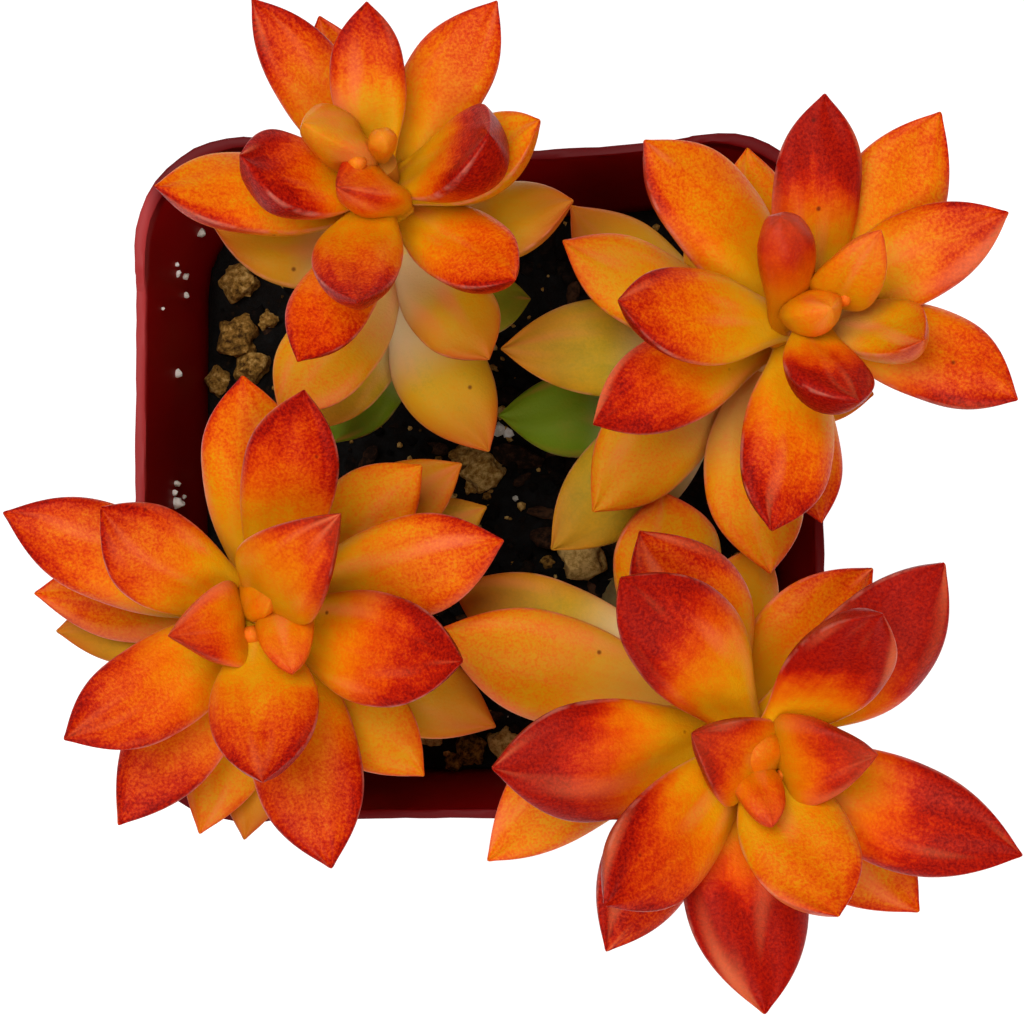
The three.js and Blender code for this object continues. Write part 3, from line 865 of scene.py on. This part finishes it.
# A leaf that is still unripe is burnt rosy brown at its tip and margin, and is cream at its root.
unripe = add_node(tree, "MapRange", {}, {0: told["tone"], 1: 0.38, 2: 0.6, 3: 1, 4: 0})[0]
sunburn = add_node(tree, "MapRange", SMOOTH, {0: told["along"], 1: 0.56, 2: 1, 3: 0, 4: 1.2})[0]
sunburn = add_node(tree, "Math", TIMES_PLUS, {0: edge_sharp, 1: 0.55, 2: sunburn})[0]
rosy = add_node(tree, "MapRange", {}, {0: told["tone"], 1: 0.14, 2: 0.46, 3: 0, 4: 0.85})[0]
rosy = add_node(tree, "Math", TIMES, {0: sunburn, 1: rosy})[0]
rosy = add_node(tree, "Math", {"operation": "MAXIMUM"}, {0: redness, 1: rosy})[0]
rosy = add_node(tree, "Math", TIMES, {0: rosy, 1: unripe})[0]
pale = add_node(tree, "MapRange", SMOOTH, {0: told["along"], 1: 0.15, 2: 0.6, 3: 1, 4: 0})[0]
pale = add_node(tree, "Math", TIMES, {0: pale, 1: unripe})[0]
# The youngest leaves get painted shade, a browner gold, down where they crowd together, and a painted soft
# pink highlight on their tips.
young = add_node(tree, "MapRange", {}, {0: told["grainy"], 1: 0.3, 2: 1, 3: 0.9, 4: 0})[0]
crowded_shade = add_node(tree, "MapRange", SMOOTH, {0: told["along"], 1: 0.3, 2: 0.75, 3: 1, 4: 0})[0]
crowded_shade = add_node(tree, "Math", TIMES, {0: crowded_shade, 1: young})[0]
# The painted highlight on young tips
tip_highlight = add_node(tree, "MapRange", SMOOTH, {0: told["along"], 1: 0.6, 2: 1, 3: 0, 4: 0.25})[0]
tip_highlight = add_node(tree, "Math", TIMES, {0: tip_highlight, 1: young})[0]
# A few dark freckles, about 0.3 mm across, lie some millimetres apart.
cells = add_node(tree, "TexVoronoi", {}, {"Vector": place, "Scale": 300})
cell_draw = add_node(tree, "SeparateXYZ", {}, {0: cells["Color"]})[0]
freckled = add_node(tree, "Math", {"operation": "GREATER_THAN"}, {0: cell_draw, 1: 0.72})[0]
freckle = add_node(tree, "MapRange", {}, {0: cells["Distance"], 1: 0.03, 2: 0.07, 3: 0.75, 4: 0})[0]
freckle = add_node(tree, "Math", TIMES, {0: freckle, 1: freckled})[0]
# The margin has a thin pale line painted on as a highlight, broken here and there, which fades out at the tip
# and on young leaves.
rim_highlight = add_node(tree, "MapRange", SMOOTH, {0: edge, 1: 0.955, 2: 1, 3: 0, 4: 0.42})[0]
for value, low, high in ((blotches, 0.35, 0.65), (told["along"], 0.99, 0.82), (told["grainy"], 0.3, 1)):
    fade = add_node(tree, "MapRange", {}, {0: value, 1: low, 2: high})[0]
    rim_highlight = add_node(tree, "Math", TIMES, {0: rim_highlight, 1: fade})[0]
# Each colour lies over those before it.
for share, colour in (
    (crimson, LEAF_CRIMSON),
    (highlight_patch, LEAF_HIGHLIGHT_PATCH),
    (rosy, LEAF_ROSE),
    (pale, LEAF_PALE_ROOT),
    (crowded_shade, YOUNG_SHADE_GOLD),
    (tip_highlight, YOUNG_TIP_HIGHLIGHT),
    (freckle, LEAF_FRECKLE),
    (rim_highlight, LEAF_RIM_HIGHLIGHT),
):
    flesh = add_node(tree, "Mix", COLOURS, {0: share, 6: flesh, 7: hex_colour(colour)})[2]
tree.links.new(flesh, shader.inputs["Base Color"])
# Young skin is smoother.
skin_rough = add_node(tree, "MapRange", {}, {0: grain, 1: 0.3, 2: 0.7, 3: 0.38, 4: 0.5})[0]
young_skin = add_node(tree, "MapRange", {}, {0: told["grainy"], 1: 0.3, 2: 1, 3: -0.08, 4: 0})[0]
skin_rough = add_node(tree, "Math", PLUS, {0: skin_rough, 1: young_skin})[0]
tree.links.new(skin_rough, shader.inputs["Roughness"])
skin_bump = add_node(tree, "Bump", {}, {"Strength": 0.6, "Distance": 0.07 * MM, "Height": grain})[0]
tree.links.new(skin_bump, shader.inputs["Normal"])
shader.inputs["IOR"].default_value = 1.34
shader.inputs["Subsurface Weight"].default_value = 0.14
shader.inputs["Subsurface Radius"].default_value = (1, 0.35, 0.12)
shader.inputs["Subsurface Scale"].default_value = 1.2 * MM
shader.inputs["Specular IOR Level"].default_value = 0.22
shader.inputs["Specular Tint"].default_value = (1, 0.62, 0.5, 1)

# The stem's skin: brown and corky near the mix, cream higher up, and a darker gold at its top, painted shade
# under its rosette.
STEM_AGES_AND_SHADE = [(0.15, "#6b5334"), (0.4, "#a9975c"), (0.62, "#f0e4b0"), (0.84, "#ecc060"), (0.93, "#b87414")]
stem_skin, tree, shader = new_material("fleshy_stem")
place = add_node(tree, "TexCoord", {}, {})["Object"]
height = add_node(tree, "Attribute", {"attribute_name": "along"}, {})["Fac"]
cork = add_node(tree, "TexNoise", {}, {"Vector": place, "Scale": 1100, "Detail": 6, "Roughness": 0.7})[0]
age_and_shade = add_node(tree, "MapRange", {}, {0: cork, 3: -0.18, 4: 0.18})[0]
age_and_shade = add_node(tree, "Math", PLUS, {0: height, 1: age_and_shade})[0]
bark_colour = add_node(tree, "ValToRGB", {}, {0: age_and_shade}, STEM_AGES_AND_SHADE)[0]
tree.links.new(bark_colour, shader.inputs["Base Color"])
cork_bump = add_node(tree, "Bump", {}, {"Strength": 0.5, "Distance": 0.1 * MM, "Height": cork})[0]
tree.links.new(cork_bump, shader.inputs["Normal"])
shader.inputs["Roughness"].default_value = 0.55
shader.inputs["Subsurface Weight"].default_value = 0.15
shader.inputs["Subsurface Scale"].default_value = 1 * MM

# Each row under "leaves" is one leaf, from the top down: mm below the tip, compass turn and lift in degrees,
# length and width in mm, sideways bow as a share of its length, then from 0 to 10 how ripe its colour is and
# how far its blush spreads, and the side that the blush leans to. A row under "heart" starts with the root's
# place from the tip in mm, and has its arch as a share of its length and how blunt it is in place of the bow.
PLANTS = {
    "sedum_upper_left": {
        "foot": (-4, 9, 28),
        "knee": (-6, 14.5, 62),
        "tip": (-6, 23, 79),
        "heart": [
            (-0.3, -0.4, -4, 52, 79, 7.6, 2.2, 0, 1, 5.9, 0),
            (-2, -0.6, -4, 331, 84, 6.2, 1.5, 0, 1, 6, 0),
            (-2, -1, -5, 141, 67, 10.3, 5.8, 0.12, 0.35, 5.8, 2),
            (0.9, -3, -4.5, 181, 67, 9.3, 5.9, 0.08, 0.1, 6.6, 6),
        ],
        "leaves": [
            (3, 94, 18, 13, 5.7, -0.04, 6.5, 8, 0),
            (4, 175, 42, 13, 7.2, 0, 7.4, 8, 0),
            (4, 266, 50, 16, 6.4, 0.06, 7.2, 6, 0),
            (4.5, 15, 50, 13.5, 7.6, -0.09, 7.6, 8, 0),
            (5, 59, 5, 16.5, 6.6, -0.04, 7, 5, 0),
            (5.5, 21, 25, 14, 6.6, 0, 6, 3, 0),
            (6, 124, 8, 18, 6, 0.03, 7.4, 6, 0),
            (6.5, 325, 35, 15, 6.6, -0.03, 7.2, 5, 0.5),
            (7, 178, 22, 18, 7.2, 0.05, 6.3, 4, -0.8),
            (8, 244, 32, 16, 6, 0.02, 7.4, 5, 0),
            (8, 110, -5, 16.5, 6.4, 0, 7, 4, 0),
            (9, 92, -20, 12.5, 5.6, 0, 6, 2, 0),
            (11, 7, 14, 14.5, 6.8, 0.02, 4.3, 1, 0),
            (13, 308, 12, 12.2, 7, -0.02, 4.5, 3, 0),
            (13.5, 174, 10, 14.5, 7.6, -0.03, 4.2, 1, 0),
            (15, 235, 12, 16, 7.6, 0, 5.4, 2, 0),
            (15, 70, 0, 12.5, 6.4, 0, 5, 3, 0),
            (18, 295, 0, 16, 7.4, 0.05, 4, 3, 0),
            (20, 125, 5, 13, 6.4, 0, 4, 3, 0),
            (21, 237, 5, 14, 6.2, 0, 3, 1, 0),
            (22, 55, 8, 11, 6, 0, 4, 2, 0),
            (25, 150, -5, 13, 6, 0, 2, 1, 0),
            (26, 4, 0, 9.5, 5.6, 0, 1.5, 0, 0),
            (27, 237, 5, 13, 6, 0, 0, 0, 0),
        ],
    },
    "sedum_upper_right": {
        "foot": (12, 2, 28),
        "knee": (20.5, 8, 62),
        "tip": (27, 12, 79),
        "heart": [
            (-2.8, -0.7, -3, 355, 64, 6.4, 4.7, 0, 0.6, 6.2, 1),
            (0.7, -0.3, -2.4, 34, 80, 3.4, 1, 0, 1, 6.6, 1),
            (-0.3, 0.6, -4, 46, 56, 9.7, 5.2, 0.14, 0.25, 6.4, 4),
            (-3.3, -2.2, -6, 93, 54, 13, 4.8, 0.05, 0.9, 7.5, 8),
        ],
        "leaves": [
            (3, 292, 45, 11, 6.2, 0.08, 8, 9, 0),
            (4, 86, 15, 16.5, 7, 0.02, 8.4, 8, 0),
            (5, 344, 45, 12, 5.6, -0.12, 5.6, 5, 0),
            (5, 27, 10, 17, 6.8, -0.03, 7, 6, 0.3),
            (5, 338, 12, 17, 7.5, -0.09, 7.2, 6, 0.6),
            (5.5, 177, 35, 16.5, 7.3, -0.01, 7, 6, 0),
            (6, 56, 5, 19, 8.2, 0.05, 6.5, 4, 0),
            (7, 263, 20, 16.5, 7.4, -0.05, 7.5, 6, 0.7),
            (7.5, 129, 20, 18.5, 8, 0.08, 6.5, 4, -0.7),
            (9, 281, 5, 14.5, 6.2, 0, 7, 5, 0),
            (9.5, 206, 22, 17, 7, 0.04, 7.7, 7, 0),
            (10, 99, 0, 15, 6.8, 0, 6, 2, 0),
            (12, 153, 10, 18, 7, 0, 5.5, 4, 0),
            (13, 112, -8, 13, 6.6, 0, 5, 2, 0),
            (14, 272, 5, 17, 8, 0.05, 5.6, 4, 0),
            (15, 223, 5, 17.5, 7.6, 0.05, 5.4, 3, 0),
            (16, 62, 0, 14, 6.6, 0, 5, 3, 0),
            (17, 176, 5, 19.5, 7.8, 0.05, 3, 1.5, 0),
            (18, 136, 0, 19, 8, 0, 4, 1, 0),
            (18.5, 350, 0, 10.5, 6, 0, 5, 3, 0),
            (20, 20, -8, 15, 6.6, 0, 4, 2, 0),
            (22, 223, 0, 19.5, 8, 0, 2.8, 1, 0),
            (28, 60, -10, 13, 6, 0, 1, 0, 0),
            (31, 181, 5, 16.5, 7, 0, 0, 0, 0),
        ],
    },
    "sedum_lower_left": {
        "foot": (-9, -5, 28),
        "knee": (-18, -10.5, 50),
        "tip": (-15.3, -10.5, 75),
        "heart": [
            (-1.9, 0.6, -4, 8, 63, 6.9, 3.8, 0, 0.5, 6.3, 1),
            (-1.2, -2.3, -5, 44, 82, 4.5, 1.6, 0, 1, 6.4, 1),
            (1.1, 0, -5, 290, 58, 9.6, 4.8, 0.12, 0.4, 6.6, 5),
            (-0.3, 0.4, -3, 42, 46, 13.8, 7.6, 0.1, 0, 7, 7),
            (-2.3, -1.2, -5.5, 192, 67, 10.3, 6.6, 0.14, 0, 6.9, 6),
        ],
        "leaves": [
            (3, 276, 35, 15.5, 8, 0, 6.8, 7, 0),
            (4, 146, 32, 15.5, 7.2, -0.07, 7.2, 6, 0),
            (4.5, 75, 30, 19, 7.2, 0, 7.5, 7, 0),
            (5, 346, 28, 18.5, 8.4, 0.05, 7.9, 7, 0),
            (6, 215, 22, 18.5, 7.6, -0.03, 7.5, 6, 0),
            (6.5, 93, 20, 18.5, 8, 0, 6.5, 4, -0.5),
            (7, 286, 12, 20.9, 8.6, 0, 7.5, 6, 0),
            (7.5, 15, 15, 20, 7.8, 0, 6.8, 5, 0),
            (8, 160, 10, 21.5, 7.7, -0.015, 7, 6, 0),
            (9, 236, 5, 20.4, 7.4, 0.01, 7.4, 6, 0),
            (10, 313, 5, 18, 7.2, 0.04, 5.5, 4, 0),
            (11, 42, 10, 16.5, 7, -0.02, 5.8, 3, 0),
            (11.5, 177, 0, 19, 7, 0, 6.5, 5, 0),
            (12.5, 252, 0, 19, 7, 0, 5.5, 4, 0),
            (13.5, 331, 0, 20, 7.4, 0.03, 4.5, 3, 0),
            (14.5, 37, 3, 18.5, 7, -0.04, 5, 3, 0),
            (14.5, 187, 0, 18, 6.8, -0.02, 3.5, 2, 0),
            (15, 262, 2, 19, 6.8, 0, 4, 3, 0),
            (18, 25, 0, 18, 6.6, 0, 3, 1, 0),
            (19, 115, 12, 11, 6, 0, 4, 2, 0),
            (20, 285, 12, 12, 6.4, 0, 4, 2, 0),
            (26, 110, 0, 12, 6, 0, 1, 0, 0),
            (28, 290, 0, 12, 6, 0, 1, 0, 0),
        ],
    },
    "sedum_lower_right": {
        "foot": (8, -4, 28),
        "knee": (15.5, -17, 54),
        "tip": (22.6, -21, 80),
        "heart": [
            (0.4, -0.9, -4.8, 142, 68, 5.8, 3.7, 0, 0.75, 6.6, 2),
            (0.8, -2.2, -5.4, 79, 79, 3.6, 1, 0, 1, 6.8, 1),
            (-2.4, -0.9, -5.5, 299, 57, 8.9, 4, 0.1, 0.5, 7.2, 6),
            (-1.2, -1.1, -6, 150, 61, 10.9, 7, 0.12, 0, 7.6, 7),
            (0.3, 0.1, -5.5, 359, 46, 10.4, 7, 0.13, 0.1, 7.6, 8),
        ],
        "leaves": [
            (3, 49, 38, 16, 7.2, 0.07, 9, 9, -0.6),
            (4, 295, 32, 15.5, 8.2, 0, 6.5, 4, 0),
            (4.5, 129, 32, 18, 8.2, 0.05, 8.2, 8, -0.8),
            (5, 227, 30, 18, 8.2, -0.05, 8, 6, 0.6),
            (6, 337, 14, 21.9, 8, 0.05, 8, 8, 0),
            (6.5, 41.5, 18, 20, 8.8, 0.11, 8.4, 9, -0.4),
            (7, 274, 10, 20.7, 9.4, 0.02, 9.2, 9, 0),
            (8, 188, 20, 19.5, 9.2, -0.05, 8.6, 7, 0),
            (9, 116, 22, 17.5, 8.4, 0.07, 7, 7, 0),
            (10, 241, 5, 19.5, 8.2, -0.01, 7.6, 6, 0.6),
            (10.5, 315, 2, 20, 8.8, 0, 6.5, 5, 0),
            (11.5, 46, 5, 16, 7.4, 0, 6.8, 4, 0),
            (13, 212, 3, 21, 8.2, 0.07, 6.2, 3, 0),
            (15, 164, 5, 22, 8.4, -0.03, 5.8, 3, 0),
            (16, 5, 5, 10.5, 6.4, 0, 5, 3, 0),
            (17, 70, 5, 13, 7, 0, 5, 3, 0),
            (18, 156, 0, 21.5, 7.8, 0, 3.5, 1, 0),
            (20, 350, -20, 11, 6, 0, 4, 3, 0),
            (23, 280, 12, 12, 6, 0, 4, 2, 0),
            (24, 96, 24, 16, 9, 0, 5.5, 4, 0),
            (27, 20, 12, 11, 6, 0, 2, 0, 0),
            (30, 200, 0, 12, 6, 0, 1, 0, 0),
        ],
    },
}
for number, (name, plant) in enumerate(PLANTS.items()):
    chance = random.Random(number + 3)
    leaves = [heart_leaf(plant, row, chance) for row in plant["heart"]]
    leaves += [rosette_leaf(plant, row, chance) for row in plant["leaves"]]
    for leaf in leaves:
        leaf.data.materials.append(leaf_skin)
    stem = grown_stem(plant)
    stem.data.materials.clear()
    stem.data.materials.append(stem_skin)
    only(*leaves, stem)
    bpy.ops.object.join()
    stem.name = name + "_plant"
    stem.data.name = stem.name
    bpy.ops.object.shade_smooth()
    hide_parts(name)
    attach(stem, "root")
bpy.data.objects.remove(leaf_form)


# Studio
# A light table that glows an even white, under a white sky and two soft lights. The stronger one hangs behind
# the pot on its left, and the weaker one in front on its right, where it reaches in under the rosettes.
FLOOR_RADIUS = 12
FLOOR_GREY = "#9a9a9a"
FLOOR_GLOW = "#ffffff"
FLOOR_STRENGTH = 0.86
SKY_STRENGTH = 0.16
LIGHT_AIM = Vector((0, 0, 0.05))
LIGHT_SIZE = 0.5
# Each light's place in metres, and its power in watts
LIGHTS = {"key_light": ((-0.16, 0.2, 0.8), 4.9), "fill_light": ((0.2, -0.42, 0.75), 3.4)}
bpy.ops.object.select_all(action="DESELECT")
bpy.ops.mesh.primitive_circle_add(vertices=64, radius=FLOOR_RADIUS, fill_type="NGON")
floor = bpy.context.object
floor.name = "studio_floor"
paper, tree, shader = new_material("glowing_floor")
shader.inputs["Base Color"].default_value = hex_colour(FLOOR_GREY)
shader.inputs["Roughness"].default_value = 0.7
shader.inputs["Emission Color"].default_value = hex_colour(FLOOR_GLOW)
shader.inputs["Emission Strength"].default_value = FLOOR_STRENGTH
floor.data.materials.append(paper)
for name, (spot, power) in LIGHTS.items():
    bpy.ops.object.light_add(type="AREA", location=spot)
    light = bpy.context.object
    light.name = name
    light.data.size = LIGHT_SIZE
    light.data.energy = power
    light.rotation_euler = (Vector(spot) - LIGHT_AIM).to_track_quat("Z", "Y").to_euler()
world = bpy.data.worlds.new("white_sky")
world.use_nodes = True
sky = world.node_tree.nodes["Background"]
sky.inputs["Color"].default_value = (1, 1, 1, 1)
sky.inputs["Strength"].default_value = SKY_STRENGTH
bpy.context.scene.world = world
bpy.context.scene.view_settings.view_transform = "Standard"
